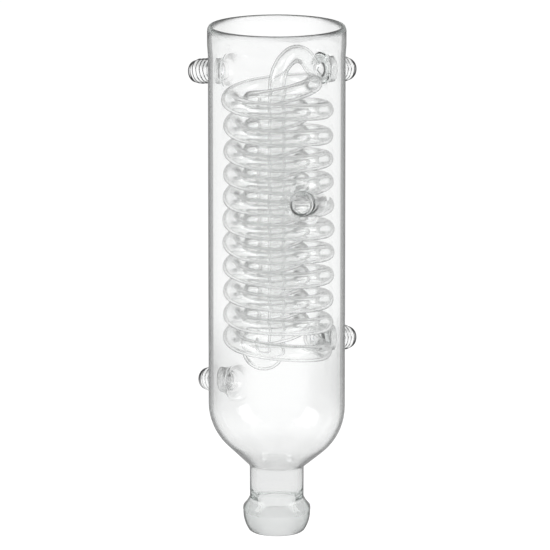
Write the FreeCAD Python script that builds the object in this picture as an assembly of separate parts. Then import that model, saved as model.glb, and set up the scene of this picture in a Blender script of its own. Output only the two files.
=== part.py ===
import FreeCAD, Part
import math
import os

Vec = FreeCAD.Vector

# Frame: the origin is the centre of the ball joint's mouth, +Z runs up the jacket's axis,
# +X is to the right as the condenser is seen from its front port, and +Y points to the back.
# Angles round the jacket are counted from +X towards +Y, seen from above.

# Jacket: a tube with a blown shoulder that narrows to the neck
JACKET_RADIUS = 35.0
JACKET_WALL = 2.5
JACKET_TOP = 264.0
LIP_FLARE = 0.4
LIP_HEIGHT = 10.0
LIP_SLOPE_HEIGHT = 5.0
SHOULDER_TOP = 67.0
SHOULDER_ARC = 30.0
SHOULDER_SLOPE = 48.0
NECK_RADIUS = 13.9
NECK_FILLET = 2.5
NECK_SEAM = 28.0

# Ball joint: a ground ball of nominal size 35/20, thick in the wall, under a sloping shoulder
BALL_RADIUS = 17.45
BALL_BORE = 10.0
BALL_BORE_LENGTH = 13.0
BALL_CENTRE = 10.5
BALL_SHOULDER_SLOPE = 28.0
BALL_SHOULDER_ROUND = 5.0
WAIST_FILLET = 1.5
BORE_TAPER = 5.0
MOUTH_ROUND = 1.2

# Where each stub's axis crosses the jacket's outer wall: angle, height and fall of the axis.
# The upper pair is placed down from the jacket's top, the lower pair up from the ball's mouth.
UPPER_FALL = 9.0
LOWER_FALL = 7.0
OUTLET_DEPTH = 26.6
VACUUM_DEPTH = 27.0
INLET_HEIGHT = 96.0
LOWER_HEIGHT = 73.0
OUTLET_PLACE = (49.5, JACKET_TOP - OUTLET_DEPTH, UPPER_FALL)
INLET_PLACE = (49.0, INLET_HEIGHT, UPPER_FALL)
VACUUM_PLACE = (137.5, JACKET_TOP - VACUUM_DEPTH, UPPER_FALL)
LOWER_PLACE = (130.0, LOWER_HEIGHT, LOWER_FALL)

# Cooling coils: one size of tube, wound in two nested helices of opposite hand. They fill the
# jacket from a clearance to its wall, and run from below its top down to the inlet stub.
TUBE_RADIUS = 4.4
TUBE_WALL = 1.2
BEND_RUN = 1.2
WALL_CLEARANCE = 4.0
COIL_CLEARANCE = 2.4
OUTER_COIL_RADIUS = JACKET_RADIUS - JACKET_WALL - WALL_CLEARANCE - TUBE_RADIUS
INNER_COIL_RADIUS = OUTER_COIL_RADIUS - COIL_CLEARANCE - 2.0 * TUBE_RADIUS
COIL_DEPTH = 34.6
CROSSOVER_DROP = 0.6
TAIL_RISE = 0.57
OUTER_COIL_TOP = JACKET_TOP - COIL_DEPTH
OUTER_COIL_BOTTOM = INLET_HEIGHT - TAIL_RISE
INNER_COIL_TOP = OUTER_COIL_TOP - CROSSOVER_DROP
OUTER_COIL_START = 60.0
INNER_COIL_START = -60.0
OUTER_COIL_TURNS = 10.83
INNER_COIL_TURNS = 10.25
ARCS_PER_TURN = 6
COIL_PITCH = (OUTER_COIL_TOP - OUTER_COIL_BOTTOM) / OUTER_COIL_TURNS
U_BEND_RADIUS = 6.6
U_BEND_DROP = 12.8
U_BEND_BOTTOM = INNER_COIL_TOP - INNER_COIL_TURNS * COIL_PITCH - U_BEND_DROP

# Centre tube: the riser on the axis and the arch that carries it towards the wall
RISER_DEPTH = 31.3
RISER_TOP = JACKET_TOP - RISER_DEPTH
ARCH_EXIT_SLOPE = 38.0
ARCH_TURN = math.radians(90.0 + ARCH_EXIT_SLOPE)
ARCH_TO_WALL = 7.87
ARCH_REACH = JACKET_RADIUS - JACKET_WALL - BEND_RUN - ARCH_TO_WALL
ARCH_RADIUS = ARCH_REACH / (1.0 - math.cos(ARCH_TURN))

# Side stubs: a fused root, a body for a screw cap of nominal thread 14, and a sealing lip
STUB_LENGTH = 22.5
STUB_BORE = 4.6
STUB_BODY_RADIUS = 5.9
THREAD_RADIUS = 6.6
THREAD_START = 7.6
THREAD_LENGTH = 12.5
LIP_RADIUS = 5.8
LIP_ROUND = 0.6
ROOT_FILLET = 4.6
ROOT_BORE = 5.8
ROOT_BORE_DEPTH = 1.6
SEAL_DEPTH = 3.0

# Front port: a shorter stub whose root lies to the right of the jacket's axis, and which
# turns a little towards it and rises a little on its way out
PORT_OFFSET = 14.2
PORT_HEIGHT = 179.0
PORT_TURN = 9.0
PORT_RISE = 5.0
PORT_LENGTH = 14.0
PORT_THREAD_START = 4.5
PORT_THREAD_LENGTH = 7.5

STRAIGHT = 1e-6


def polar(radius, angle, height):
    a = math.radians(angle)
    return Vec(radius * math.cos(a), radius * math.sin(a), height)


def unit(vector):
    return Vec(vector).normalize()


# Paths: each piece of a path is (start, direction at the start, end)
def line(start, end):
    return (start, unit(end - start), end)


def arc_end_direction(piece):
    start, direction, end = piece
    chord = unit(end - start)
    return chord * (2.0 * direction.dot(chord)) - direction


def helix(radius, top, start_angle, turns, way):
    """Arcs down a helix; way is 1 where the angle rises going down and -1 where it falls."""
    count = int(round(turns * ARCS_PER_TURN))
    step = turns * 360.0 / count
    drop = COIL_PITCH * step / 360.0
    half = math.radians(step) / 2.0
    slope = -drop * math.cos(half) / (2.0 * radius * math.sin(half))
    pieces = []
    for i in range(count):
        angle = start_angle + way * step * i
        start = polar(radius, angle, top - drop * i)
        end = polar(radius, angle + way * step, top - drop * (i + 1))
        direction = polar(way, angle + 90.0, slope)
        pieces.append((start, unit(direction), end))
    return pieces


def biarc(start, start_direction, end, end_direction):
    """Two arcs that leave start and reach end in the directions given."""
    chord = end - start
    both = start_direction + end_direction
    a = 2.0 * (1.0 - start_direction.dot(end_direction))
    b = 2.0 * chord.dot(both)
    c = -chord.dot(chord)
    reach = (-b + math.sqrt(b * b - 4.0 * a * c)) / (2.0 * a)
    middle = (start + start_direction * reach + end - end_direction * reach) * 0.5
    first = (start, start_direction, middle)
    return [first, (middle, arc_end_direction(first), end)]


def sweep_walls(pieces, radius):
    """The faces that a circle sweeps along the path, and its first and last circles."""
    start, direction, _ = pieces[0]
    ring = Part.Wire([Part.Circle(start, direction, radius).toShape()])
    first = ring
    faces = []
    for start, direction, end in pieces:
        chord = end - start
        along = chord.dot(direction)
        across = chord - direction * along
        if across.Length < STRAIGHT:
            faces += ring.extrude(chord).Faces
            ring = ring.translated(chord)
            continue
        side = unit(across)
        bend = chord.dot(chord) / (2.0 * chord.dot(side))
        centre = start + side * bend
        axis = direction.cross(side)
        angle = math.degrees(2.0 * math.atan2(across.Length, along))
        faces += ring.revolve(centre, axis, angle).Faces
        ring = ring.copy()
        ring.rotate(centre, axis, angle)
    return faces, first, ring


def tube(pieces):
    outer_faces, outer_first, outer_last = sweep_walls(pieces, TUBE_RADIUS)
    inner_faces, inner_first, inner_last = sweep_walls(pieces, TUBE_RADIUS - TUBE_WALL)
    caps = [Part.Face([outer_first, inner_first]), Part.Face([outer_last, inner_last])]
    bore_faces = [face.reversed() for face in inner_faces]
    shell = Part.Shell(outer_faces + bore_faces + caps)
    shell.sewShape()
    solid = Part.Solid(shell)
    solid.fix(STRAIGHT, STRAIGHT, STRAIGHT)
    return solid


def path_length(pieces):
    total = 0.0
    for start, direction, end in pieces:
        chord = end - start
        turn = 2.0 * direction.getAngle(chord)
        total += chord.Length * (turn / 2.0 / math.sin(turn / 2.0) if turn > STRAIGHT else 1.0)
    return total


def turned(edges):
    """The solid that a closed section in the XZ plane makes when turned about Z."""
    face = Part.Face(Part.Wire(edges))
    return face.revolve(Vec(0, 0, 0), Vec(0, 0, 1), 360.0)


def section_point(radius, height):
    return Vec(radius, 0.0, height)


def section_line(start, end):
    return Part.LineSegment(section_point(*start), section_point(*end)).toShape()


def section_arc(centre, radius, angle_from, angle_to):
    """An arc in the section, by the angles of its ends from +X towards +Z."""
    points = []
    for angle in (angle_from, (angle_from + angle_to) / 2.0, angle_to):
        a = math.radians(angle)
        points.append(section_point(centre[0] + radius * math.cos(a), centre[1] + radius * math.sin(a)))
    return Part.Arc(*points).toShape()


def ends(edges):
    """First and last point of a run of edges, as (radius, height) pairs."""
    first = edges[0].Vertexes[0].Point
    last = edges[-1].Vertexes[-1].Point
    return (first.x, first.z), (last.x, last.z)


def jacket_wall_line(inset):
    """One face of the jacket's wall from the neck's seam to the lip, set in by the given amount."""
    slope = math.radians(SHOULDER_SLOPE)
    shoulder_centre = (JACKET_RADIUS - SHOULDER_ARC, SHOULDER_TOP)
    shoulder_radius = SHOULDER_ARC - inset
    fillet_radius = NECK_FILLET + inset
    fillet_x = NECK_RADIUS + NECK_FILLET
    gap = shoulder_centre[0] - fillet_x + (SHOULDER_ARC + NECK_FILLET) * math.cos(slope)
    fillet_z = (shoulder_centre[1] - (SHOULDER_ARC + NECK_FILLET) * math.sin(slope)
                - gap / math.tan(slope))
    shoulder = section_arc(shoulder_centre, shoulder_radius, -SHOULDER_SLOPE, 0.0)
    fillet = section_arc((fillet_x, fillet_z), fillet_radius, 180.0, 180.0 - SHOULDER_SLOPE)
    fillet_start, fillet_end = ends([fillet])
    shoulder_start, shoulder_end = ends([shoulder])
    tube_end = (JACKET_RADIUS - inset, JACKET_TOP - LIP_HEIGHT - LIP_SLOPE_HEIGHT)
    lip_foot = (tube_end[0] + LIP_FLARE, JACKET_TOP - LIP_HEIGHT)
    lip_end = (lip_foot[0], JACKET_TOP - JACKET_WALL / 2.0)
    return [
        section_line((NECK_RADIUS - inset, NECK_SEAM), fillet_start),
        fillet,
        section_line(fillet_end, shoulder_start),
        shoulder,
        section_line(shoulder_end, tube_end),
        section_line(tube_end, lip_foot),
        section_line(lip_foot, lip_end),
    ]


def stub_axis(place):
    """Where a stub's axis crosses the jacket's outer wall, and its direction outwards."""
    angle, height, fall = place
    direction = polar(math.cos(math.radians(fall)), angle, -math.sin(math.radians(fall)))
    return polar(JACKET_RADIUS, angle, height), direction


def port_axis():
    rise = math.radians(PORT_RISE)
    reach = math.sqrt(JACKET_RADIUS ** 2 - PORT_OFFSET ** 2)
    direction = polar(math.cos(rise), -90.0 - PORT_TURN, math.sin(rise))
    return Vec(PORT_OFFSET, -reach, PORT_HEIGHT), direction


def bore(axis, radius, inward, outward):
    point, direction = axis
    return Part.makeCylinder(radius, inward + outward, point - direction * inward, direction)


def make_stub(axis, length, thread_start, thread_length, sealed_tube):
    """A stub turned about its own axis, its root cut to sit on the jacket's wall."""
    root = STUB_BODY_RADIUS + ROOT_FILLET
    step = THREAD_RADIUS - STUB_BODY_RADIUS
    end_step = THREAD_RADIUS - LIP_RADIUS
    thread_end = thread_start + thread_length
    corner = math.sqrt(0.5)
    root_arc = Part.Arc(
        section_point(root, 0.0),
        section_point(root - ROOT_FILLET * corner, ROOT_FILLET - ROOT_FILLET * corner),
        section_point(STUB_BODY_RADIUS, ROOT_FILLET)).toShape()
    lip_arc = section_arc((LIP_RADIUS - LIP_ROUND, length - LIP_ROUND), LIP_ROUND, 0.0, 90.0)
    outline = [
        section_line((0.0, -JACKET_RADIUS / 2.0), (root, -JACKET_RADIUS / 2.0)),
        section_line((root, -JACKET_RADIUS / 2.0), (root, 0.0)),
        root_arc,
        section_line((STUB_BODY_RADIUS, ROOT_FILLET), (STUB_BODY_RADIUS, thread_start)),
        section_line((STUB_BODY_RADIUS, thread_start), (THREAD_RADIUS, thread_start + step)),
        section_line((THREAD_RADIUS, thread_start + step), (THREAD_RADIUS, thread_end - end_step)),
        section_line((THREAD_RADIUS, thread_end - end_step), (LIP_RADIUS, thread_end)),
        section_line((LIP_RADIUS, thread_end), (LIP_RADIUS, length - LIP_ROUND)),
        lip_arc,
        section_line((LIP_RADIUS - LIP_ROUND, length), (0.0, length)),
        section_line((0.0, length), (0.0, -JACKET_RADIUS / 2.0)),
    ]
    stub = turned(outline)
    point, direction = axis
    stub.Placement = FreeCAD.Placement(point, FreeCAD.Rotation(Vec(0, 0, 1), direction))
    stub = stub.cut(Part.makeCylinder(JACKET_RADIUS, JACKET_TOP))
    if sealed_tube:
        stub = stub.cut(bore(axis, TUBE_RADIUS, JACKET_RADIUS, SEAL_DEPTH))
        stub = stub.cut(bore((point + direction * SEAL_DEPTH, direction), STUB_BORE, 0.0, length))
    else:
        stub = stub.cut(bore(axis, ROOT_BORE, JACKET_RADIUS, ROOT_BORE_DEPTH))
        stub = stub.cut(bore(axis, STUB_BORE, 0.0, 2.0 * length))
    return stub.Solids[0]


def make_jacket(sealed_axes, open_axes):
    outside = jacket_wall_line(0.0)
    inside = jacket_wall_line(JACKET_WALL)
    outer_foot, outer_lip = ends(outside)
    inner_foot, inner_lip = ends(inside)
    lip_centre = ((outer_lip[0] + inner_lip[0]) / 2.0, outer_lip[1])
    lip = section_arc(lip_centre, JACKET_WALL / 2.0, 0.0, 180.0)
    jacket = turned(outside + [lip] + inside[::-1] + [section_line(inner_foot, outer_foot)])
    for axis in sealed_axes:
        jacket = jacket.cut(bore(axis, TUBE_RADIUS, 2.0 * JACKET_WALL, JACKET_WALL))
    for axis in open_axes:
        jacket = jacket.cut(bore(axis, ROOT_BORE, 3.0 * JACKET_WALL, JACKET_WALL))
    return jacket.Solids[0]


def make_ball_joint():
    """The ground ball with its bore, and the shank that is sealed to the neck."""
    shank_bore = NECK_RADIUS - JACKET_WALL
    slope = math.radians(BALL_SHOULDER_SLOPE)
    # The shoulder is an arc that leaves the ball at its widest and turns into a cone up to the shank
    round_centre = (BALL_RADIUS - BALL_SHOULDER_ROUND, BALL_CENTRE)
    shoulder = section_arc(round_centre, BALL_SHOULDER_ROUND, 0.0, BALL_SHOULDER_SLOPE)
    shoulder_end = ends([shoulder])[1]
    waist_x = NECK_RADIUS + WAIST_FILLET
    waist_foot = (waist_x - WAIST_FILLET * math.cos(slope), 0.0)
    cone_height = (shoulder_end[0] - waist_foot[0]) / math.tan(slope)
    waist_z = shoulder_end[1] + cone_height + WAIST_FILLET * math.sin(slope)
    waist = section_arc((waist_x, waist_z), WAIST_FILLET, 180.0 + BALL_SHOULDER_SLOPE, 180.0)
    # The mouth's outer edge is an arc tangent to the ball and to the flat end
    mouth_x = math.sqrt((BALL_RADIUS - MOUTH_ROUND) ** 2 - (BALL_CENTRE - MOUTH_ROUND) ** 2)
    fall = math.degrees(math.atan2(BALL_CENTRE - MOUTH_ROUND, mouth_x))
    ball = section_arc((0.0, BALL_CENTRE), BALL_RADIUS, -fall, 0.0)
    mouth = section_arc((mouth_x, MOUTH_ROUND), MOUTH_ROUND, -90.0, -fall)
    return turned([
        section_line((BALL_BORE, 0.0), (mouth_x, 0.0)),
        mouth,
        ball,
        shoulder,
        section_line(shoulder_end, ends([waist])[0]),
        waist,
        section_line((NECK_RADIUS, waist_z), (NECK_RADIUS, NECK_SEAM)),
        section_line((NECK_RADIUS, NECK_SEAM), (shank_bore, NECK_SEAM)),
        section_line((shank_bore, NECK_SEAM), (shank_bore, BALL_BORE_LENGTH + BORE_TAPER)),
        section_line((shank_bore, BALL_BORE_LENGTH + BORE_TAPER), (BALL_BORE, BALL_BORE_LENGTH)),
        section_line((BALL_BORE, BALL_BORE_LENGTH), (BALL_BORE, 0.0)),
    ])


def end_of(pieces):
    return pieces[-1][2], arc_end_direction(pieces[-1])


def wall_run(axis):
    """The straight run of tube through the jacket's wall into a stub, going outwards."""
    point, direction = axis
    inward = JACKET_WALL + BEND_RUN
    return line(point - direction * inward, point + direction * SEAL_DEPTH)


def outer_coil_path(inlet, inner_coil):
    """The outer coil from the end of its crossover to the inner coil, down to its stub."""
    coil = helix(OUTER_COIL_RADIUS, OUTER_COIL_TOP, OUTER_COIL_START, OUTER_COIL_TURNS, 1)
    run = wall_run(inlet)
    coil_end, coil_direction = end_of(coil)
    tail = biarc(coil_end, coil_direction, run[0], run[1])
    joint_point, joint_direction, _ = inner_coil[0]
    crossover = biarc(joint_point, joint_direction * -1.0, coil[0][0], coil[0][1])
    return crossover + coil + tail + [run]


def inner_coil_path(coil):
    coil_end, coil_direction = end_of(coil)
    bottom = Vec(-U_BEND_RADIUS, 0.0, U_BEND_BOTTOM)
    foot = Vec(0.0, 0.0, U_BEND_BOTTOM + U_BEND_RADIUS)
    drop = biarc(coil_end, coil_direction, bottom, Vec(1, 0, 0))
    return coil + drop + [(bottom, Vec(1, 0, 0), foot)]


def centre_tube_path(outlet):
    top = Vec(0.0, 0.0, RISER_TOP)
    foot = Vec(0.0, 0.0, U_BEND_BOTTOM + U_BEND_RADIUS)
    arch_end = polar(ARCH_REACH, OUTLET_PLACE[0], RISER_TOP + ARCH_RADIUS * math.sin(ARCH_TURN))
    arch = (top, Vec(0, 0, 1), arch_end)
    run = wall_run(outlet)
    tail = biarc(arch_end, arc_end_direction(arch), run[0], run[1])
    return [line(foot, top), arch] + tail + [run]


def build():
    inlet = stub_axis(INLET_PLACE)
    outlet = stub_axis(OUTLET_PLACE)
    vacuum = stub_axis(VACUUM_PLACE)
    lower = stub_axis(LOWER_PLACE)
    port = port_axis()
    inner = helix(INNER_COIL_RADIUS, INNER_COIL_TOP, INNER_COIL_START, INNER_COIL_TURNS, -1)
    full = (STUB_LENGTH, THREAD_START, THREAD_LENGTH)
    short = (PORT_LENGTH, PORT_THREAD_START, PORT_THREAD_LENGTH)
    paths = {
        "outer_coil": outer_coil_path(inlet, inner),
        "inner_coil": inner_coil_path(inner),
        "centre_tube": centre_tube_path(outlet),
    }
    nodes = {
        "jacket": make_jacket([inlet, outlet], [vacuum, lower, port]),
        "ball_joint": make_ball_joint(),
        "coolant_inlet_stub": make_stub(inlet, *full, True),
        "coolant_outlet_stub": make_stub(outlet, *full, True),
        "vacuum_stub": make_stub(vacuum, *full, False),
        "lower_stub": make_stub(lower, *full, False),
        "front_port": make_stub(port, *short, False),
    }
    for name, path in paths.items():
        nodes[name] = tube(path)
        section = math.pi * (TUBE_RADIUS ** 2 - (TUBE_RADIUS - TUBE_WALL) ** 2)
        print(name, "length", round(path_length(path), 1), "mm, volume over section times length",
              round(nodes[name].Volume / section / path_length(path), 5))
    return nodes


os.makedirs("parts", exist_ok=True)
for node, shape in build().items():
    print(node, "valid", shape.isValid(), "volume", round(shape.Volume, 1), "faces", len(shape.Faces))
    shape.exportStep("parts/" + node + ".step")
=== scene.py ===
import math

import bmesh
import bpy
from mathutils import Matrix, Vector


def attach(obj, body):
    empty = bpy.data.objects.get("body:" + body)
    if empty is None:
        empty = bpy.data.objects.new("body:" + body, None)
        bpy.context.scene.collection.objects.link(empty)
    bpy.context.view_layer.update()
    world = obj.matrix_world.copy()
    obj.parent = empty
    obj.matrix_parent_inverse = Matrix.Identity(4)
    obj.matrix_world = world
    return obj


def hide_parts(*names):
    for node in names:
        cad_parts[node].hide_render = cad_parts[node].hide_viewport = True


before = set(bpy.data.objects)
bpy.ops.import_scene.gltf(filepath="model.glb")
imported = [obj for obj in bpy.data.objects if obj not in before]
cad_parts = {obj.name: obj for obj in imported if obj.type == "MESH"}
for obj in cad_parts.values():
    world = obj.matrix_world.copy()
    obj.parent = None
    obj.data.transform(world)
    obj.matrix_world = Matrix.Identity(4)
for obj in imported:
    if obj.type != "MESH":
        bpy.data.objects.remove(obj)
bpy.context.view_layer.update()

MM = 0.001

# Jacket and ball joint, in millimetres
JACKET_RADIUS = 35.0
JACKET_WALL = 2.5
JACKET_TOP = 264.0
LIP_FLARE = 0.4
LIP_HEIGHT = 15.0
LIP_LAND = 10.0
LIP_ROUND = 3.2
LIP_CREST = 0.62
SHOULDER_TOP = 67.0
SHOULDER_ARC = 30.0
SHOULDER_SLOPE = 48.0
NECK_RADIUS = 13.9
NECK_FILLET = 2.5
BALL_RADIUS = 17.4
GRINDING = 0.2
BALL_CENTRE = 10.5
BALL_BORE = 10.0
JACKET_SEGMENTS = 160
SHOULDER_SAG = 1.1
CONE_TOP = (13.8, 18.4)
CONE_FOOT = (16.4, 13.6)
MOUTH_ROUND = ((13.6, 0.35), (13.1, 0.06), (12.3, 0.0), (10.7, 0.0), (10.2, 0.12), (10.0, 0.6))
BORE_TAPER = (28.0, 5.0)
BORE_TAPER_STEPS = 24
BORE_EDGE = 2.5
LIP_STEPS = 20

# Heights where the shoulder sags to one side: start, rise, end and fall
SAG_HEIGHTS = (30.0, 16.0, 80.0, 22.0)

# Cooling tube
TUBE_RADIUS = 4.4
TUBE_WALL = 1.2
COIL_PITCH = 12.37
ARCS_PER_TURN = 6
OUTER_COIL_RADIUS = 24.1
OUTER_COIL_TOP = 229.4
OUTER_COIL_START = 60.0
OUTER_COIL_TURNS = 10.83
INNER_COIL_RADIUS = 12.9
INNER_COIL_TOP = 228.8
INNER_COIL_START = -60.0
INNER_COIL_TURNS = 10.25
U_BEND_RADIUS = 6.6
U_BEND_BOTTOM = 89.2
RISER_TOP = 232.7
ARCH_RADIUS = 14.5
ARCH_EXIT_SLOPE = 38.0
BEND_RUN = 1.2
SEAL_DEPTH = 3.0
TUBE_SEGMENTS = 26
BORE_SEGMENTS = 20
PATH_STEP = 2.3

# How far the hand-wound turns lie above an even pitch, from the top turn down, and their lean
PITCH_ERRORS = (1.9, 0.6, -0.1, 0.5, 0.9, 1.4, 1.5, 1.6, 1.5, 1.6, 2.2)
PITCH_ERRORS_TOP = 225.3
COIL_LEAN = 0.85
COIL_ASIDE = 0.8
WOBBLE = 0.28
WOBBLE_RUNS = (11.3, 6.1, 8.7)
SECOND_WAVE = 0.6

# Where the wobble starts outside the riser and the shift aside outside the inner coil: start and rise
RISER_REACH = (6.0, 5.0)
INNER_REACH = (16.0, 6.0)

# Heights of the shift and the wobble: start, rise, end and fall
SHIFT_HEIGHTS = (95.6, 5.0, 235.0, 5.0)
WOBBLE_HEIGHTS = (96.0, 6.0, 226.0, 8.0)

# Light, in metres: white where it is looked at, and the plain level where it falls on the part
WORLD_LEVEL = 0.6
INSIDE_LEVEL = 0.92
OUTSIDE_LEVEL = 0.2
OVERHEAD_RISE = (0.30, 0.75)
OVERHEAD_LEVEL = 0.35
FLOOR_GLOW = 0.82
FLOOR_GREY = 0.36
FLOOR_ROUGHNESS = 0.9
FLOOR_EDGE = 8.0
FLOOR_HEIGHT = -0.12
SOFT_BOX_SIDE = (0.825, -0.27, 0.487)
SOFT_BOX_DISTANCE = 1.2
SOFT_BOX_SIZE = (0.6, 0.8)
SOFT_BOX_STRENGTH = 3.0
PART_MIDDLE = 0.13
MOST_BOUNCES = 48
MOST_MIRRORINGS = 24

# Camera: metres and degrees, with the lens in millimetres and shifts in pixels of the picture
CAMERA_TARGET = 0.133
CAMERA_ELEVATION = 12.0
CAMERA_DISTANCE = 3.0
CAMERA_LENS = 383.8
CAMERA_SENSOR = 36.0
CAMERA_END = 50.0
CAMERA_SHIFT = (-1.75, 3.09)
PICTURE_WIDTH = 550.0

# Glass
GLASS_IOR = 1.473
GLASS_ABSORBS = (0.0, 0.12, 0.075, 1.0)
GLASS_DENSITY = 12.0
GRAIN_SCALE = 2500.0
GROUND_ROUGHNESS = 0.27
GRAIN_ROUGHNESS = 0.06
BORE_ROUGHNESS = 0.45
RIM_ROUGHNESS = 0.33
WAVE_SCALE = 60.0
WAVE_STRETCH = 0.25
WAVE_DEPTH = 0.00008
SHARP_ANGLE = 38.0

# Zones of the glass in millimetres, as start and end of a soft border: by reach from the axis
BORE_REACH = (11.0, 11.4)
BALL_OUTSIDE = (12.5, 13.2)
INNER_COIL_REACH = (17.5, 19.5)
COILS_REACH = (30.5, 31.0)
WALL_INSIDE = (32.7, 33.1)
WALL_OUTSIDE = (33.5, 33.8)
ROOT_REACH = (35.5, 36.0)
FILLET_REACH = (38.0, 42.0)
STUB_REACH = (40.0, 46.0)

# Zones by height, and the depth that parts the stubs from the front port
GROUND_FOOT = (0.6, 1.2)
GROUND_TOP = (10.6, 11.4)
NECK_FOOT = (9.5, 12.5)
BORE_TOP = (13.0, 16.0)
BELLY_FOOT = (20.0, 34.0)
NECK_TOP = (38.0, 50.0)
SHOULDER_ZONE = (60.0, 72.0)
BAND_CHANGE = (65.0, 115.0)
CLEAR_TOP = (85.0, 120.0)
RIM_ZONE = (259.0, 262.5)
RIM_LIGHTER = (260.0, 262.5)
BEHIND_PORT = (-30.0, -24.0)

# Painted edge shade in the glass's colour: it darkens from the first to the second share of turning away,
# down to the third
INNER_TUBE_PAINTED_SHADE = (0.50, 0.78, 0.08)
OUTER_TUBE_PAINTED_SHADE = (0.60, 0.84, 0.22)
STUB_PAINTED_SHADE = (0.22, 0.50, 0.0)
FILLET_PAINTED_SHADE = (0.10, 0.60, 0.85)
ROOT_PAINTED_SHADE = (0.05, 0.5, 0.5)
PAINTED_BAND_START = (0.612, 0.655)
PAINTED_BAND_HIGH = 0.27
PAINTED_BAND_LOW = 0.58
WALL_PAINTED_SHADES = ((0.655, 0.83, 0.28), (0.83, 0.90, 0.3))
CLEAR_PAINTED_SHADES = ((0.04, 0.22, 0.79), (0.35, 0.62, 0.88))
BELLY_PAINTED_SHADE = (0.20, 0.60, 0.80)
LOW_PAINTED_SHADE = (0.58, 0.76, 0.12)
NECK_PAINTED_SHADE = 0.80
RIM_LEAST_PAINTED_SHADE = 0.8

# Side stubs: angle round the jacket, height and fall of the axis
OUTLET_PLACE = (49.5, 237.4, 9.0)
INLET_PLACE = (49.0, 96.0, 9.0)
VACUUM_PLACE = (137.5, 237.0, 9.0)
LOWER_PLACE = (130.0, 73.0, 7.0)
PORT_OFFSET = 14.2
PORT_HEIGHT = 179.0
PORT_TURN = 9.0
PORT_RISE = 5.0
STUB_LENGTH = 22.5
PORT_LENGTH = 14.0
STUB_BORE = 4.6
STUB_BODY = 5.9
ROOT_FILLET = 4.6
THREAD_DEPTH = 0.65
THREAD_PITCH = 2.5
THREAD_START = 7.6
THREAD_RUNOUT = 1.5
PORT_THREAD_START = 4.6
THREAD_STEP = 0.36
RIDGE_POWER = 0.8
LIP_LENGTH = 2.4
LIP_SHARE = 0.8
ROOT_TUCK = 0.4
ROOT_SUNK = 1.6
ROOT_EDGE = 0.35
HUG_RUN = 1.8
MOUTH_DEPTH = 1.4
MOUTH_RISE = 1.2
MOUTH_SHARE = 0.5
BORE_OVERLAP = 0.4
STUB_SEGMENTS = 48
ROOT_ANGLES = (10.0, 20.0, 32.0, 45.0, 58.0, 72.0, 90.0)
LIP_ANGLES = (0.0, 15.0, 30.0, 45.0, 60.0, 75.0, 85.0)
MOUTH_ANGLES = (30.0, 60.0, 80.0)
FUNNEL_TOP = 7.0
FUNNEL_RADIUS = 10.6
FUNNEL_SINK = 0.15
FUNNEL_STEPS = 14
FUNNEL_HUG = 1.2


def polar(radius, angle, height):
    """A point at a radius and an angle in degrees round the axis."""
    a = math.radians(angle)
    return Vector((radius * math.cos(a), radius * math.sin(a), height))


def smoothstep(x):
    x = min(max(x, 0.0), 1.0)
    return x * x * (3.0 - 2.0 * x)


def hump(value, start, rise, end, fall):
    """1 between start and end, with a soft rise after the start and a soft fall before the end."""
    return smoothstep((value - start) / rise) * smoothstep((end - value) / fall)


# Meshes, in millimetres until they become objects

def mesh_object(name, verts, faces):
    mesh = bpy.data.meshes.new(name)
    mesh.from_pydata([v * MM for v in verts], [], faces)
    bm = bmesh.new()
    bm.from_mesh(mesh)
    bmesh.ops.recalc_face_normals(bm, faces=bm.faces)
    bm.to_mesh(mesh)
    bm.free()
    obj = bpy.data.objects.new(name, mesh)
    bpy.context.scene.collection.objects.link(obj)
    return obj


def rings_object(name, rings, closed):
    """A solid through rings of points: a loop of rings if closed, otherwise capped at both ends."""
    count = len(rings[0])
    verts = [p for ring in rings for p in ring]
    faces = []
    spans = len(rings) if closed else len(rings) - 1
    for i in range(spans):
        a = i * count
        b = ((i + 1) % len(rings)) * count
        for j in range(count):
            k = (j + 1) % count
            faces.append((a + j, a + k, b + k, b + j))
    if not closed:
        faces.append(tuple(range(count)))
        faces.append(tuple(range((len(rings) - 1) * count, len(rings) * count)))
    return mesh_object(name, verts, faces)


def boolean(base, tool, operation):
    """Join a tool to the base or cut it out, and remove the tool."""
    modifier = base.modifiers.new("cut", "BOOLEAN")
    modifier.operation = operation
    modifier.solver = "MANIFOLD"
    modifier.object = tool
    bpy.context.view_layer.update()
    graph = bpy.context.evaluated_depsgraph_get()
    mesh = bpy.data.meshes.new_from_object(base.evaluated_get(graph))
    base.modifiers.clear()
    base.data = mesh
    bpy.data.objects.remove(tool)


# The jacket and the ball joint as one turned wall

def arc_points(centre, radius, start, end, step=6.0):
    count = max(2, int(abs(end - start) / step) + 1)
    points = []
    for i in range(count + 1):
        a = math.radians(start + (end - start) * i / count)
        points.append((centre[0] + radius * math.cos(a), centre[1] + radius * math.sin(a)))
    return points


def line_points(start, end, step):
    length = math.dist(start, end)
    count = max(1, int(length / step))
    return [(start[0] + (end[0] - start[0]) * i / count, start[1] + (end[1] - start[1]) * i / count)
            for i in range(1, count)]


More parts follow.
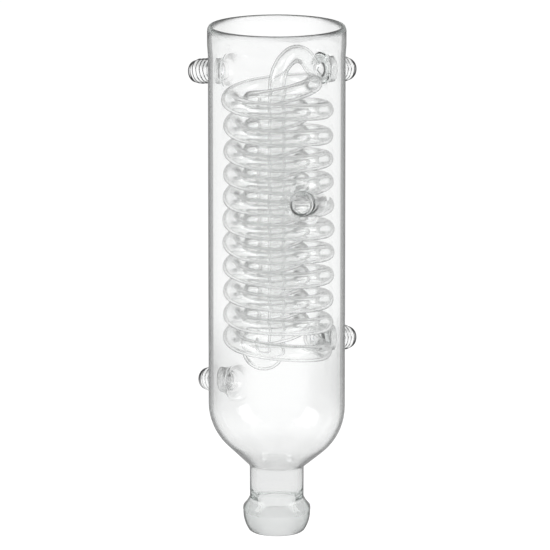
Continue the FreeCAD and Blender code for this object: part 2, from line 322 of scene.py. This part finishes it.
def wall_profile(inset):
    """Points from the lip down to the neck along one face of the jacket's wall."""
    slope = math.radians(SHOULDER_SLOPE)
    centre = (JACKET_RADIUS - SHOULDER_ARC, SHOULDER_TOP)
    fillet_x = NECK_RADIUS + NECK_FILLET
    gap = centre[0] - fillet_x + (SHOULDER_ARC + NECK_FILLET) * math.cos(slope)
    fillet_z = centre[1] - (SHOULDER_ARC + NECK_FILLET) * math.sin(slope) - gap / math.tan(slope)
    shoulder = arc_points(centre, SHOULDER_ARC - inset, 0.0, -SHOULDER_SLOPE)
    fillet = arc_points((fillet_x, fillet_z), NECK_FILLET + inset, 180.0 - SHOULDER_SLOPE, 180.0, 12.0)
    lip = (JACKET_RADIUS - inset + LIP_FLARE, JACKET_TOP - LIP_ROUND)
    land = (JACKET_RADIUS - inset + LIP_FLARE, JACKET_TOP - LIP_LAND)
    bend = (JACKET_RADIUS - inset, JACKET_TOP - LIP_HEIGHT)
    points = [lip, land] + line_points(land, bend, 2.0) + [bend]
    points += line_points(bend, shoulder[0], 6.0) + shoulder
    points += line_points(shoulder[-1], fillet[0], 3.0) + fillet
    return points


def turned_wall():
    """Jacket, shoulder, neck and ball as one closed profile turned about the axis."""
    outside = wall_profile(0.0)
    inside = wall_profile(JACKET_WALL)
    outside += line_points(outside[-1], CONE_TOP, 4.0) + [CONE_TOP]
    outside += line_points(CONE_TOP, CONE_FOOT, 2.0)
    outside += arc_points((0.0, BALL_CENTRE), BALL_RADIUS, 10.0, 4.0, 3.0)
    outside += arc_points((0.0, BALL_CENTRE), BALL_RADIUS - GRINDING, 1.5, -34.0, 4.0)
    outside += MOUTH_ROUND
    inner_top = (NECK_RADIUS - JACKET_WALL, BORE_TAPER[0])
    mouth_top = (BALL_BORE, BORE_TAPER[1])
    inside += line_points(inside[-1], inner_top, 4.0) + [inner_top]
    for i in range(1, BORE_TAPER_STEPS + 1):
        share = i / BORE_TAPER_STEPS
        inside.append((inner_top[0] + (mouth_top[0] - inner_top[0]) * smoothstep(share),
                       inner_top[1] + (mouth_top[1] - inner_top[1]) * share))
    inside.append((BALL_BORE, BORE_EDGE))
    outer_edge = JACKET_RADIUS + LIP_FLARE
    crest = outer_edge - JACKET_WALL * LIP_CREST
    lip = []
    for i in range(1, LIP_STEPS):
        angle = math.pi * i / LIP_STEPS
        half = JACKET_WALL * (1.0 - LIP_CREST) if angle < math.pi / 2.0 else JACKET_WALL * LIP_CREST
        drop = LIP_ROUND * (1.0 - math.sin(angle))
        lip.append((crest - half * math.cos(angle), JACKET_TOP - drop))
    profile = outside + inside[::-1] + lip
    rings = []
    for radius, height in profile:
        ring = []
        sag = SHOULDER_SAG * hump(height, *SAG_HEIGHTS)
        for j in range(JACKET_SEGMENTS):
            angle = 360.0 * j / JACKET_SEGMENTS
            ring.append(polar(radius, angle, height - sag * math.cos(math.radians(angle))))
        rings.append(ring)
    return rings_object("condenser_glass", rings, True)


# Stubs

def stub_axis(place):
    """Where a stub's axis meets the jacket's outside, and its direction."""
    angle, height, fall = place
    f = math.radians(fall)
    return polar(JACKET_RADIUS, angle, height), polar(math.cos(f), angle, -math.sin(f))


def port_axis():
    rise = math.radians(PORT_RISE)
    reach = math.sqrt(JACKET_RADIUS ** 2 - PORT_OFFSET ** 2)
    direction = polar(math.cos(rise), -90.0 - PORT_TURN, math.sin(rise))
    return Vector((PORT_OFFSET, -reach, PORT_HEIGHT)), direction


def side_vectors(direction):
    """Two vectors square to a direction and to each other."""
    up = Vector((0.0, 0.0, 1.0))
    first = direction.cross(up).normalized()
    return first, direction.cross(first).normalized()


def wall_reach(point, direction, radius):
    """How far along the direction a face of the jacket's wall lies from a point."""
    a = direction.x ** 2 + direction.y ** 2
    b = 2.0 * (point.x * direction.x + point.y * direction.y)
    c = point.x ** 2 + point.y ** 2 - radius ** 2
    return (-b + math.sqrt(b * b - 4.0 * a * c)) / (2.0 * a)


def thread_rise(along, angle, start, end):
    """Height of the thread's ridge over the stub's body, faded at both ends."""
    turn = along / THREAD_PITCH - angle / (2.0 * math.pi)
    ridge = (0.5 - 0.5 * math.cos(2.0 * math.pi * turn)) ** RIDGE_POWER
    return THREAD_DEPTH * ridge * hump(along, start, THREAD_PITCH, end, THREAD_RUNOUT)


def stub_solid(axis, length, thread_start):
    """A stub's outside: a root that flows out of the wall, a thread and a rounded lip."""
    point, direction = axis
    first, second = side_vectors(direction)
    thread_end = length - LIP_LENGTH
    root = STUB_BODY + ROOT_FILLET
    profile = [(root - ROOT_TUCK, -ROOT_SUNK), (root, -ROOT_EDGE)]
    for angle in ROOT_ANGLES:
        a = math.radians(angle)
        profile.append((STUB_BODY + ROOT_FILLET * (1.0 - math.sin(a)), ROOT_FILLET * (1.0 - math.cos(a))))
    steps = int((thread_end - ROOT_FILLET) / THREAD_STEP)
    for i in range(1, steps + 1):
        profile.append((STUB_BODY, ROOT_FILLET + (thread_end - ROOT_FILLET) * i / steps))
    lip = LIP_SHARE * (STUB_BODY - STUB_BORE)
    for angle in LIP_ANGLES:
        a = math.radians(angle)
        profile.append((STUB_BODY - lip + lip * math.cos(a), length + (math.sin(a) - 1.0) * LIP_LENGTH))
    rings = []
    for radius, height in profile:
        ring = []
        hug = smoothstep(1.0 - height / (ROOT_FILLET + HUG_RUN))
        for j in range(STUB_SEGMENTS):
            angle = 2.0 * math.pi * j / STUB_SEGMENTS
            rise = 0.0
            if thread_start < height < thread_end:
                rise = thread_rise(height, angle, thread_start, thread_end)
            side = (first * math.cos(angle) + second * math.sin(angle)) * (radius + rise)
            base = wall_reach(point + side, direction, JACKET_RADIUS)
            ring.append(point + side + direction * (height + base * hug))
        rings.append(ring)
    return rings_object("stub", rings, False)


def stub_bore(axis, length, start=None):
    """A stub's bore with a rounded mouth: from a start, or else from a root blown like a trumpet."""
    point, direction = axis
    first, second = side_vectors(direction)
    blown = start is None
    run = FUNNEL_TOP + JACKET_WALL
    flare = MOUTH_SHARE * (STUB_BODY - STUB_BORE)
    if blown:
        profile = [(FUNNEL_RADIUS, -2.0 * JACKET_WALL)]
        for i in range(FUNNEL_STEPS):
            angle = math.radians(90.0 * i / FUNNEL_STEPS)
            widening = (FUNNEL_RADIUS - STUB_BORE) * (1.0 - math.sin(angle))
            profile.append((STUB_BORE + widening, FUNNEL_TOP - run * math.cos(angle) - FUNNEL_SINK))
    else:
        profile = [(STUB_BORE, start)]
    profile += [(STUB_BORE, (FUNNEL_TOP + length) / 2.0), (STUB_BORE, length - MOUTH_DEPTH)]
    for angle in MOUTH_ANGLES:
        a = math.radians(angle)
        height = length - MOUTH_RISE + MOUTH_RISE * math.sin(a)
        profile.append((STUB_BORE + flare * (1.0 - math.cos(a)), height))
    profile.append((STUB_BORE + flare, length + 1.0))
    rings = []
    for radius, height in profile:
        hug = smoothstep(FUNNEL_HUG * (FUNNEL_TOP - height) / run) if blown else 0.0
        ring = []
        for j in range(STUB_SEGMENTS):
            angle = 2.0 * math.pi * j / STUB_SEGMENTS
            side = (first * math.cos(angle) + second * math.sin(angle)) * radius
            base = wall_reach(point + side, direction, JACKET_RADIUS - JACKET_WALL) + JACKET_WALL
            ring.append(point + side + direction * (height + base * hug))
        rings.append(ring)
    return rings_object("bore", rings, False)


# The cooling tube's path: pieces are (start, direction at the start, end)

def line(start, end):
    return (start, (end - start).normalized(), end)


def end_direction(piece):
    """The direction in which an arc or a line ends."""
    start, direction, end = piece
    chord = (end - start).normalized()
    return chord * (2.0 * direction.dot(chord)) - direction


def backwards(pieces):
    return [(end, -end_direction((start, direction, end)), start) for start, direction, end in pieces[::-1]]


def helix(radius, top, start_angle, turns, way):
    """A coil downwards as a chain of tilted arcs, wound one way (1) or the other (-1)."""
    count = int(round(turns * ARCS_PER_TURN))
    step = turns * 360.0 / count
    drop = COIL_PITCH * step / 360.0
    half = math.radians(step) / 2.0
    slope = -drop * math.cos(half) / (2.0 * radius * math.sin(half))
    pieces = []
    for i in range(count):
        angle = start_angle + way * step * i
        start = polar(radius, angle, top - drop * i)
        end = polar(radius, angle + way * step, top - drop * (i + 1))
        pieces.append((start, polar(way, angle + 90.0, slope).normalized(), end))
    return pieces


def biarc(start, start_direction, end, last_direction):
    """Two arcs that meet smoothly, from one point and direction to another."""
    chord = end - start
    both = start_direction + last_direction
    a = 2.0 * (1.0 - start_direction.dot(last_direction))
    b = 2.0 * chord.dot(both)
    c = -chord.dot(chord)
    reach = (-b + math.sqrt(b * b - 4.0 * a * c)) / (2.0 * a)
    middle = (start + start_direction * reach + end - last_direction * reach) * 0.5
    first = (start, start_direction, middle)
    return [first, (middle, end_direction(first), end)]


def wall_run(axis):
    """The straight run through the jacket's wall into a stub."""
    point, direction = axis
    return line(point - direction * (JACKET_WALL + BEND_RUN), point + direction * SEAL_DEPTH)


def cooling_path(inlet, outlet):
    """The whole tube, from the inlet stub up the outer coil, down the inner one and up the riser."""
    outer = helix(OUTER_COIL_RADIUS, OUTER_COIL_TOP, OUTER_COIL_START, OUTER_COIL_TURNS, 1)
    inner = helix(INNER_COIL_RADIUS, INNER_COIL_TOP, INNER_COIL_START, INNER_COIL_TURNS, -1)
    run_in = wall_run(inlet)
    tail = biarc(outer[-1][2], end_direction(outer[-1]), run_in[0], run_in[1])
    up = backwards(outer + tail + [run_in])
    crossover = biarc(up[-1][2], end_direction(up[-1]), inner[0][0], inner[0][1])
    bottom = Vector((-U_BEND_RADIUS, 0.0, U_BEND_BOTTOM))
    foot = Vector((0.0, 0.0, U_BEND_BOTTOM + U_BEND_RADIUS))
    top = Vector((0.0, 0.0, RISER_TOP))
    drop = biarc(inner[-1][2], end_direction(inner[-1]), bottom, Vector((1.0, 0.0, 0.0)))
    turn = math.radians(90.0 + ARCH_EXIT_SLOPE)
    arch_end = polar(ARCH_RADIUS * (1.0 - math.cos(turn)), OUTLET_PLACE[0],
                     RISER_TOP + ARCH_RADIUS * math.sin(turn))
    arch = (top, Vector((0.0, 0.0, 1.0)), arch_end)
    run_out = wall_run(outlet)
    exit_bend = biarc(arch_end, end_direction(arch), run_out[0], run_out[1])
    return (up + crossover + inner + drop + [(bottom, Vector((1.0, 0.0, 0.0)), foot)]
            + [line(foot, top), arch] + exit_bend + [run_out])


def path_frames(pieces):
    """Points along the path, each with its direction and a side vector that never twists."""
    frames = []
    side = side_vectors(pieces[0][1])[0]
    for start, direction, end in pieces:
        chord = end - start
        along = chord.dot(direction)
        across = chord - direction * along
        if across.length < 1e-6:
            count = max(1, int(chord.length / (2.0 * PATH_STEP)))
            for i in range(count):
                frames.append((start + chord * (i / count), direction, side))
            continue
        bend = chord.dot(chord) / (2.0 * across.length)
        centre = start + across.normalized() * bend
        axis = direction.cross(across.normalized())
        turn = 2.0 * math.atan2(across.length, along)
        count = max(3, int(turn * bend / PATH_STEP), int(math.degrees(turn) / 9.0))
        for i in range(count):
            rotation = Matrix.Rotation(turn * i / count, 3, axis)
            frames.append((centre + rotation @ (start - centre), rotation @ direction, rotation @ side))
        side = Matrix.Rotation(turn, 3, axis) @ side
    frames.append((pieces[-1][2], end_direction(pieces[-1]), side))
    return frames


def hand_wound(frames):
    """The same frames with the uneven pitch and the slight wobble of turns wound by hand."""
    wound = []
    travelled = 0.0
    last = frames[0][0]
    for point, direction, side in frames:
        travelled += (point - last).length
        last = point
        turn = (PITCH_ERRORS_TOP - point.z) / COIL_PITCH
        turn = min(max(turn, 0.0), len(PITCH_ERRORS) - 1.001)
        low = PITCH_ERRORS[int(turn)]
        shift = low + (PITCH_ERRORS[int(turn) + 1] - low) * smoothstep(turn - int(turn))
        shift += COIL_LEAN * point.x / OUTER_COIL_RADIUS
        shift *= hump(point.z, *SHIFT_HEIGHTS)
        reach = math.hypot(point.x, point.y)
        coiled = hump(point.z, *WOBBLE_HEIGHTS)
        coiled *= smoothstep((reach - RISER_REACH[0]) / RISER_REACH[1])
        wave = math.sin(travelled / WOBBLE_RUNS[0])
        wave += math.sin(travelled / WOBBLE_RUNS[1] + 1.0) * SECOND_WAVE
        push = WOBBLE * wave * coiled / max(reach, 1.0)
        lift = WOBBLE * coiled * math.sin(travelled / WOBBLE_RUNS[2] + 0.5)
        aside = COIL_ASIDE * coiled * smoothstep((reach - INNER_REACH[0]) / INNER_REACH[1])
        moved = Vector((point.x * (1.0 + push) + aside, point.y * (1.0 + push), point.z + shift + lift))
        wound.append((moved, direction, side))
    return wound


def tube_solid(frames, radius, segments):
    rings = []
    for point, direction, side in frames:
        other = direction.cross(side)
        rings.append([point + (side * math.cos(a) + other * math.sin(a)) * radius
                      for a in [2.0 * math.pi * j / segments for j in range(segments)]])
    return rings_object("tube", rings, False)


def build_glass():
    """The wall with its stubs and the cooling tube fused on, and then every bore cut."""
    inlet = stub_axis(INLET_PLACE)
    outlet = stub_axis(OUTLET_PLACE)
    vacuum = stub_axis(VACUUM_PLACE)
    lower = stub_axis(LOWER_PLACE)
    port = port_axis()
    glass = turned_wall()
    for axis in (inlet, outlet, vacuum, lower):
        boolean(glass, stub_solid(axis, STUB_LENGTH, THREAD_START), "UNION")
    boolean(glass, stub_solid(port, PORT_LENGTH, PORT_THREAD_START), "UNION")
    frames = hand_wound(path_frames(cooling_path(inlet, outlet)))
    boolean(glass, tube_solid(frames, TUBE_RADIUS, TUBE_SEGMENTS), "UNION")
    boolean(glass, tube_solid(frames, TUBE_RADIUS - TUBE_WALL, BORE_SEGMENTS), "DIFFERENCE")
    for axis in (inlet, outlet):
        boolean(glass, stub_bore(axis, STUB_LENGTH, SEAL_DEPTH - BORE_OVERLAP), "DIFFERENCE")
    for axis, length in ((vacuum, STUB_LENGTH), (lower, STUB_LENGTH), (port, PORT_LENGTH)):
        boolean(glass, stub_bore(axis, length), "DIFFERENCE")
    return glass


# Material nodes

def feed(tree, socket, value):
    """Give a socket a plain number, or link it to another socket."""
    if isinstance(value, float):
        socket.default_value = value
    else:
        tree.links.new(value, socket)


def math_node(tree, operation, first, second):
    """A math node, fed by sockets or by plain numbers."""
    node = tree.nodes.new("ShaderNodeMath")
    node.operation = operation
    feed(tree, node.inputs[0], first)
    feed(tree, node.inputs[1], second)
    return node.outputs[0]


def product_node(tree, *factors):
    product = factors[0]
    for factor in factors[1:]:
        product = math_node(tree, "MULTIPLY", product, factor)
    return product


def range_node(tree, value, start, end, low, high):
    """A soft step from low at the start to high at the end."""
    node = tree.nodes.new("ShaderNodeMapRange")
    node.interpolation_type = "SMOOTHSTEP"
    tree.links.new(value, node.inputs["Value"])
    node.inputs["From Min"].default_value = start
    node.inputs["From Max"].default_value = end
    node.inputs["To Min"].default_value = low
    node.inputs["To Max"].default_value = high
    return node.outputs["Result"]


def mix_node(tree, share, first, second):
    """The first value at share 0 and the second at share 1."""
    node = tree.nodes.new("ShaderNodeMix")
    feed(tree, node.inputs["Factor"], share)
    feed(tree, node.inputs["A"], first)
    feed(tree, node.inputs["B"], second)
    return node.outputs["Result"]


def above(tree, value, zone, level=1.0):
    """0 under a zone in millimetres and the level over it."""
    return range_node(tree, value, zone[0] * MM, zone[1] * MM, 0.0, level)


def below(tree, value, zone, level=1.0):
    """The level under a zone in millimetres and 0 over it."""
    return range_node(tree, value, zone[0] * MM, zone[1] * MM, level, 0.0)


def painted_edge_shade_node(tree, side, painted_darkening):
    """Painted shade: 1 where the glass is seen square on, down to the darkest value seen edge on."""
    start, end, darkest = painted_darkening
    return range_node(tree, side, start, end, 1.0, darkest)


def outward_share(tree, radial):
    """1 where the glass faces away from the jacket's axis, 0 where it faces the axis."""
    geometry = tree.nodes.new("ShaderNodeNewGeometry")
    local = tree.nodes.new("ShaderNodeVectorTransform")
    local.vector_type = "NORMAL"
    local.convert_from = "WORLD"
    local.convert_to = "OBJECT"
    tree.links.new(geometry.outputs["Normal"], local.inputs[0])
    product = tree.nodes.new("ShaderNodeVectorMath")
    product.operation = "DOT_PRODUCT"
    tree.links.new(local.outputs[0], product.inputs[0])
    tree.links.new(radial, product.inputs[1])
    flip = math_node(tree, "MULTIPLY", geometry.outputs["Backfacing"], -2.0)
    sign = math_node(tree, "ADD", flip, 1.0)
    return math_node(tree, "GREATER_THAN", math_node(tree, "MULTIPLY", product.outputs["Value"], sign), 0.0)


def glass_roughness(tree, point, reach, z):
    """Clear glass with a ground ball, a matt mouth and a softly matt rim."""
    grain = tree.nodes.new("ShaderNodeTexNoise")
    grain.inputs["Scale"].default_value = GRAIN_SCALE
    grain.inputs["Detail"].default_value = 4.0
    tree.links.new(point, grain.inputs["Vector"])
    ground = product_node(tree, above(tree, reach, BALL_OUTSIDE), below(tree, z, GROUND_TOP),
                          above(tree, z, GROUND_FOOT))
    rough = math_node(tree, "MULTIPLY", grain.outputs["Fac"], GRAIN_ROUGHNESS)
    rough = math_node(tree, "ADD", rough, GROUND_ROUGHNESS)
    bore = product_node(tree, below(tree, reach, BORE_REACH), below(tree, z, BORE_TOP, BORE_ROUGHNESS))
    rough = math_node(tree, "ADD", product_node(tree, rough, ground), bore)
    return math_node(tree, "ADD", rough, above(tree, z, RIM_ZONE, RIM_ROUGHNESS))


def wall_painted_shade_node(tree, side, z):
    """Painted shade on the outside of the tall wall: a painted dark band at both edges, and a soft painted
    shade under the coils.
    """
    band = range_node(tree, side, PAINTED_BAND_START[0], PAINTED_BAND_START[1], 0.0, 1.0)
    level = range_node(tree, z, BAND_CHANGE[0] * MM, BAND_CHANGE[1] * MM, PAINTED_BAND_LOW, PAINTED_BAND_HIGH)
    painted_darkening = mix_node(tree, band, 1.0, level)
    painted_darkening = product_node(tree, painted_darkening, *[painted_edge_shade_node(tree, side, t) for t in WALL_PAINTED_SHADES])
    shade = product_node(tree, *[painted_edge_shade_node(tree, side, t) for t in CLEAR_PAINTED_SHADES])
    painted_darkening = product_node(tree, painted_darkening, mix_node(tree, below(tree, z, CLEAR_TOP), 1.0, shade))
    # Near the rim the painted shade is lighter, never darker than its least value.
    return math_node(tree, "MAXIMUM", painted_darkening, above(tree, z, RIM_LIGHTER, RIM_LEAST_PAINTED_SHADE))


def low_painted_shade_node(tree, side, z):
    """Painted shade on the shoulder, neck and ball, where the wall curves: darker edges and a darker neck.
    """
    neck = product_node(tree, below(tree, z, NECK_TOP), above(tree, z, NECK_FOOT))
    belly = mix_node(tree, above(tree, z, BELLY_FOOT), 1.0, painted_edge_shade_node(tree, side, BELLY_PAINTED_SHADE))
    return product_node(tree, belly, painted_edge_shade_node(tree, side, LOW_PAINTED_SHADE),
                        range_node(tree, neck, 0.0, 1.0, 1.0, NECK_PAINTED_SHADE))


def glass_painted_shade(tree, radial, reach, y, z):
    """Painted shade: glass seen edge on is painted darker, each region of the condenser by its own measure.
    """
    facing = tree.nodes.new("ShaderNodeLayerWeight")
    facing.inputs["Blend"].default_value = 0.5
    side = facing.outputs["Facing"]
    outward = outward_share(tree, radial)
    behind = above(tree, y, BEHIND_PORT)

    coils = mix_node(tree, below(tree, reach, INNER_COIL_REACH), painted_edge_shade_node(tree, side, OUTER_TUBE_PAINTED_SHADE),
                     painted_edge_shade_node(tree, side, INNER_TUBE_PAINTED_SHADE))
    funnel = mix_node(tree, above(tree, reach, WALL_INSIDE), 1.0, painted_edge_shade_node(tree, side, ROOT_PAINTED_SHADE))
    jacket = product_node(tree, outward, above(tree, reach, WALL_OUTSIDE))
    wall = mix_node(tree, jacket, funnel, wall_painted_shade_node(tree, side, z))
    high = mix_node(tree, below(tree, reach, COILS_REACH), wall, coils)

    fillet = product_node(tree, below(tree, reach, FILLET_REACH), behind)
    fillet = mix_node(tree, fillet, 1.0, painted_edge_shade_node(tree, side, FILLET_PAINTED_SHADE))
    stub = product_node(tree, above(tree, reach, STUB_REACH), behind)
    stub = mix_node(tree, stub, fillet, painted_edge_shade_node(tree, side, STUB_PAINTED_SHADE))
    high = mix_node(tree, above(tree, reach, ROOT_REACH), high, stub)
    low = mix_node(tree, outward, 1.0, low_painted_shade_node(tree, side, z))
    return mix_node(tree, below(tree, z, SHOULDER_ZONE), high, low)


def glass_waves(tree, point):
    """The faint drawing lines and waves of blown tube."""
    stretch = tree.nodes.new("ShaderNodeMapping")
    stretch.inputs["Scale"].default_value = (1.0, 1.0, WAVE_STRETCH)
    tree.links.new(point, stretch.inputs["Vector"])
    waves = tree.nodes.new("ShaderNodeTexNoise")
    waves.inputs["Scale"].default_value = WAVE_SCALE
    waves.inputs["Detail"].default_value = 2.0
    tree.links.new(stretch.outputs["Vector"], waves.inputs["Vector"])
    bump = tree.nodes.new("ShaderNodeBump")
    bump.inputs["Strength"].default_value = 1.0
    bump.inputs["Distance"].default_value = WAVE_DEPTH
    tree.links.new(waves.outputs["Fac"], bump.inputs["Height"])
    return bump.outputs["Normal"]


def glass_material():
    """Clear borosilicate glass, with finish, and with painted edge shade in its colour by the place on the
    condenser.
    """
    material = bpy.data.materials.new("borosilicate")
    material.use_nodes = True
    tree = material.node_tree
    nodes = tree.nodes
    links = tree.links
    shader = nodes["Principled BSDF"]
    shader.inputs["Base Color"].default_value = (1.0, 1.0, 1.0, 1.0)
    shader.inputs["IOR"].default_value = GLASS_IOR
    shader.inputs["Transmission Weight"].default_value = 1.0

    point = nodes.new("ShaderNodeTexCoord").outputs["Object"]
    axes = nodes.new("ShaderNodeSeparateXYZ")
    links.new(point, axes.inputs[0])
    flat = nodes.new("ShaderNodeVectorMath")
    flat.operation = "MULTIPLY"
    flat.inputs[1].default_value = (1.0, 1.0, 0.0)
    links.new(point, flat.inputs[0])
    length = nodes.new("ShaderNodeVectorMath")
    length.operation = "LENGTH"
    links.new(flat.outputs[0], length.inputs[0])
    reach = length.outputs["Value"]

    links.new(glass_roughness(tree, point, reach, axes.outputs["Z"]), shader.inputs["Roughness"])
    shade = glass_painted_shade(tree, flat.outputs[0], reach, axes.outputs["Y"], axes.outputs["Z"])
    # The painted shade goes into the glass's base colour, the same on all three channels.
    painted_darkening = nodes.new("ShaderNodeCombineColor")
    for channel in ("Red", "Green", "Blue"):
        links.new(shade, painted_darkening.inputs[channel])
    links.new(painted_darkening.outputs["Color"], shader.inputs["Base Color"])
    links.new(glass_waves(tree, point), shader.inputs["Normal"])

    volume = nodes.new("ShaderNodeVolumeAbsorption")
    volume.inputs["Color"].default_value = GLASS_ABSORBS
    volume.inputs["Density"].default_value = GLASS_DENSITY
    links.new(volume.outputs["Volume"], nodes["Material Output"].inputs["Volume"])
    return material


# Light, floor and camera

def seen_level(tree):
    """The camera's share, and what other rays see: less once mirrored inside, least off the outside."""
    path = tree.nodes.new("ShaderNodeLightPath")
    mirrored = math_node(tree, "MINIMUM", path.outputs["Glossy Depth"], 1.0)
    inside = math_node(tree, "MINIMUM", path.outputs["Transmission Depth"], 1.0)
    mirror = math_node(tree, "MULTIPLY", inside, INSIDE_LEVEL - OUTSIDE_LEVEL)
    mirror = math_node(tree, "ADD", mirror, OUTSIDE_LEVEL)
    loss = math_node(tree, "MULTIPLY", mirrored, math_node(tree, "SUBTRACT", 1.0, mirror))
    level = math_node(tree, "SUBTRACT", 1.0, loss)
    looked = math_node(tree, "MAXIMUM", path.outputs["Is Transmission Ray"], path.outputs["Is Glossy Ray"])
    return path.outputs["Is Camera Ray"], math_node(tree, "MULTIPLY", looked, level)


def world_light():
    """White where it is seen, greyer overhead and in reflections, and plain as a light."""
    world = bpy.data.worlds.new("studio")
    bpy.context.scene.world = world
    world.use_nodes = True
    tree = world.node_tree
    background = tree.nodes["Background"]
    camera, seen = seen_level(tree)
    direction = tree.nodes.new("ShaderNodeTexCoord")
    axes = tree.nodes.new("ShaderNodeSeparateXYZ")
    tree.links.new(direction.outputs["Generated"], axes.inputs[0])
    start, end = OVERHEAD_RISE
    overhead = range_node(tree, axes.outputs["Z"], start, end, 1.0, OVERHEAD_LEVEL)
    seen = math_node(tree, "MULTIPLY", seen, overhead)
    level = math_node(tree, "MAXIMUM", math_node(tree, "MAXIMUM", seen, camera), WORLD_LEVEL)
    tree.links.new(level, background.inputs["Strength"])
    background.inputs["Color"].default_value = (1.0, 1.0, 1.0, 1.0)


def add_floor():
    """A plain pale floor below the held part."""
    mesh = bpy.data.meshes.new("floor")
    edge = FLOOR_EDGE
    corners = [(x, y, FLOOR_HEIGHT) for x, y in ((-edge, -edge), (edge, -edge), (edge, edge), (-edge, edge))]
    mesh.from_pydata(corners, [], [(0, 1, 2, 3)])
    floor = bpy.data.objects.new("floor", mesh)
    bpy.context.scene.collection.objects.link(floor)
    material = bpy.data.materials.new("pale floor")
    material.use_nodes = True
    tree = material.node_tree
    shader = tree.nodes["Principled BSDF"]
    shader.inputs["Base Color"].default_value = (FLOOR_GREY, FLOOR_GREY, FLOOR_GREY, 1.0)
    shader.inputs["Roughness"].default_value = FLOOR_ROUGHNESS
    shader.inputs["Specular IOR Level"].default_value = 0.0
    shader.inputs["Emission Color"].default_value = (1.0, 1.0, 1.0, 1.0)
    camera, seen = seen_level(tree)
    glow = math_node(tree, "MAXIMUM", camera, seen)
    tree.links.new(math_node(tree, "MULTIPLY", glow, FLOOR_GLOW), shader.inputs["Emission Strength"])
    mesh.materials.append(material)


def add_soft_box(direction):
    """A soft box that faces the part from a side."""
    data = bpy.data.lights.new("soft box", "AREA")
    data.shape = "RECTANGLE"
    data.size = SOFT_BOX_SIZE[0]
    data.size_y = SOFT_BOX_SIZE[1]
    data.energy = SOFT_BOX_STRENGTH * math.pi * SOFT_BOX_SIZE[0] * SOFT_BOX_SIZE[1]
    lamp = bpy.data.objects.new("soft box", data)
    bpy.context.scene.collection.objects.link(lamp)
    lamp.location = Vector((0.0, 0.0, PART_MIDDLE)) + Vector(direction).normalized() * SOFT_BOX_DISTANCE
    lamp.rotation_euler = Vector(direction).to_track_quat("Z", "Y").to_euler()


def add_camera():
    """A long lens in front of the part and a little above it."""
    target = Vector((0.0, 0.0, CAMERA_TARGET))
    elevation = math.radians(CAMERA_ELEVATION)
    data = bpy.data.cameras.new("camera")
    camera = bpy.data.objects.new("camera", data)
    bpy.context.scene.collection.objects.link(camera)
    offset = Vector((0.0, -math.cos(elevation), math.sin(elevation))) * CAMERA_DISTANCE
    camera.location = target + offset
    camera.rotation_euler = (-offset).to_track_quat("-Z", "Y").to_euler()
    data.lens = CAMERA_LENS
    data.sensor_width = CAMERA_SENSOR
    data.clip_end = CAMERA_END
    data.shift_x = CAMERA_SHIFT[0] / PICTURE_WIDTH
    data.shift_y = CAMERA_SHIFT[1] / PICTURE_WIDTH
    bpy.context.scene.camera = camera


glass = build_glass()
for polygon in glass.data.polygons:
    polygon.use_smooth = True
glass.data.set_sharp_from_angle(angle=math.radians(SHARP_ANGLE))
glass.data.materials.clear()
glass.data.materials.append(glass_material())
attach(glass, "root")
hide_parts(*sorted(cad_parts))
world_light()
add_floor()
for hand in (-1.0, 1.0):
    add_soft_box((hand * SOFT_BOX_SIDE[0], SOFT_BOX_SIDE[1], SOFT_BOX_SIDE[2]))
add_camera()
bpy.context.scene.cycles.max_bounces = MOST_BOUNCES
bpy.context.scene.cycles.transmission_bounces = MOST_BOUNCES
bpy.context.scene.cycles.glossy_bounces = MOST_MIRRORINGS
bpy.context.scene.view_settings.view_transform = "Standard"
